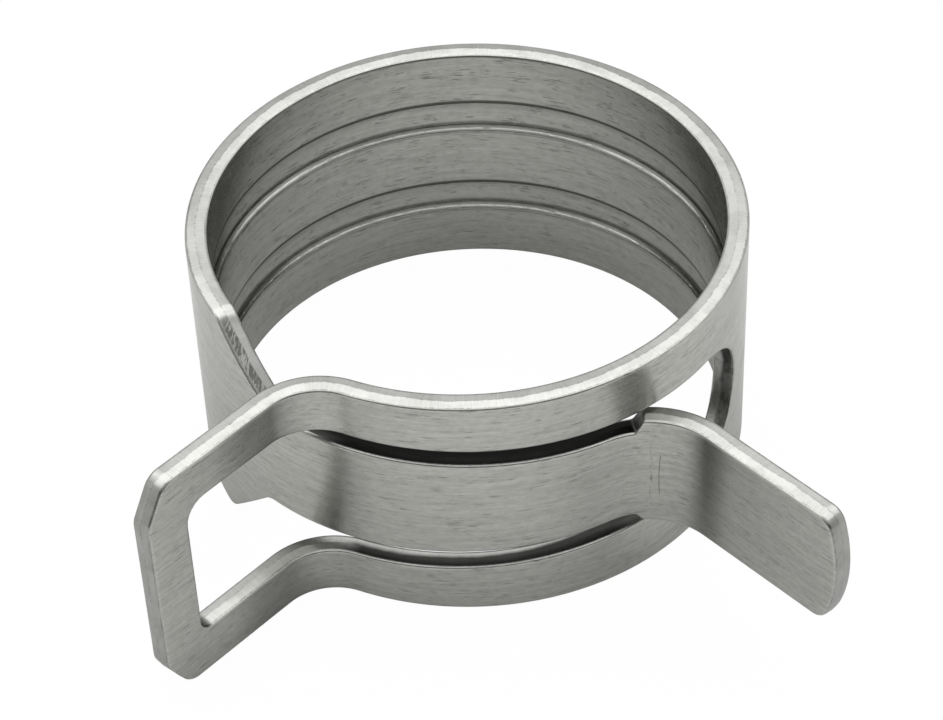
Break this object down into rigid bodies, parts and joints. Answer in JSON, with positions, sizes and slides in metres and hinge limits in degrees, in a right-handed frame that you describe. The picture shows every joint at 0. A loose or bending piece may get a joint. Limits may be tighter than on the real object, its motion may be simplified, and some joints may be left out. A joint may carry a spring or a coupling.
{
  "type": "spring band hose clamp",
  "caption": "Spring band hose clamp bent from one flat steel strip: a tongue passes out through a window in the other end, and squeezing the two tabs opens the ring.",
  "frame": {"origin": "centre of the ring's bore, at the middle of the strip's width", "axes": "+Z along the bore, square to the ring; -Y from the bore's centre to the front, where the ends of the strip cross; +X to the side of the tongue's tab"},
  "size_m": [0.0296, 0.03, 0.0122],
  "materials": {
    "spring_steel": "satin, finely brushed along the strip"
  },
  "bodies": {
    "back": {"band_back": "spring_steel"},
    "rear_left": {"band_rear_left": "spring_steel"},
    "left": {"band_left": "spring_steel"},
    "taper": {"tongue_root": "spring_steel"},
    "tongue": {"tongue_middle": "spring_steel"},
    "tongue_end": {"tongue_front": "spring_steel", "tongue_tab": "spring_steel"},
    "rear_right": {"band_rear_right": "spring_steel"},
    "right": {"band_right": "spring_steel"},
    "window": {"window_end": "spring_steel"},
    "rails": {"upper_rail": "spring_steel", "lower_rail": "spring_steel"},
    "loop": {"upper_rail_end": "spring_steel", "lower_rail_end": "spring_steel", "upper_arm": "spring_steel", "lower_arm": "spring_steel", "loop_bridge": "spring_steel"}
  },
  "joints": [
    {"name": "bend_back_right", "type": "hinge", "parent": "back", "child": "rear_right", "pos_m": [0.00448, 0.01167, 0], "axis": [0, 0, 1], "range_deg": [0, 4.8], "stiffness_Nm_per_rad": 300},
    {"name": "bend_rear_right", "type": "hinge", "parent": "rear_right", "child": "right", "pos_m": [0.01114, 0.00567, 0], "axis": [0, 0, 1], "range_deg": [0, 4.8]},
    {"name": "bend_right", "type": "hinge", "parent": "right", "child": "window", "pos_m": [0.01207, -0.00324, 0], "axis": [0, 0, 1], "range_deg": [0, 4.8]},
    {"name": "bend_window", "type": "hinge", "parent": "window", "child": "rails", "pos_m": [0.00681, -0.01048, 0], "axis": [0, 0, 1], "range_deg": [0, 4.8]},
    {"name": "bend_rails", "type": "hinge", "parent": "rails", "child": "loop", "pos_m": [-0.00196, -0.01235, 0], "axis": [0, 0, 1], "range_deg": [0, 4.8]},
    {"name": "bend_back_left", "type": "hinge", "parent": "back", "child": "rear_left", "pos_m": [-0.00448, 0.01167, 0], "axis": [0, 0, -1], "range_deg": [0, 4.8]},
    {"name": "bend_rear_left", "type": "hinge", "parent": "rear_left", "child": "left", "pos_m": [-0.01114, 0.00567, 0], "axis": [0, 0, -1], "range_deg": [0, 4.8]},
    {"name": "bend_left", "type": "hinge", "parent": "left", "child": "taper", "pos_m": [-0.01207, -0.00324, 0], "axis": [0, 0, -1], "range_deg": [0, 4.8]},
    {"name": "bend_tongue_root", "type": "hinge", "parent": "taper", "child": "tongue", "pos_m": [-0.00681, -0.01048, 0], "axis": [0, 0, -1], "range_deg": [0, 4.8]},
    {"name": "bend_tongue_front", "type": "hinge", "parent": "tongue", "child": "tongue_end", "pos_m": [0.00196, -0.01235, 0], "axis": [0, 0, -1], "range_deg": [0, 4.8]}
  ],
  "couplings": [
    {"joint": "bend_rear_right", "follows": "bend_back_right", "ratio": 1},
    {"joint": "bend_right", "follows": "bend_back_right", "ratio": 1},
    {"joint": "bend_window", "follows": "bend_back_right", "ratio": 1},
    {"joint": "bend_rails", "follows": "bend_back_right", "ratio": 1},
    {"joint": "bend_back_left", "follows": "bend_back_right", "ratio": 1},
    {"joint": "bend_rear_left", "follows": "bend_back_right", "ratio": 1},
    {"joint": "bend_left", "follows": "bend_back_right", "ratio": 1},
    {"joint": "bend_tongue_root", "follows": "bend_back_right", "ratio": 1},
    {"joint": "bend_tongue_front", "follows": "bend_back_right", "ratio": 1}
  ]
}
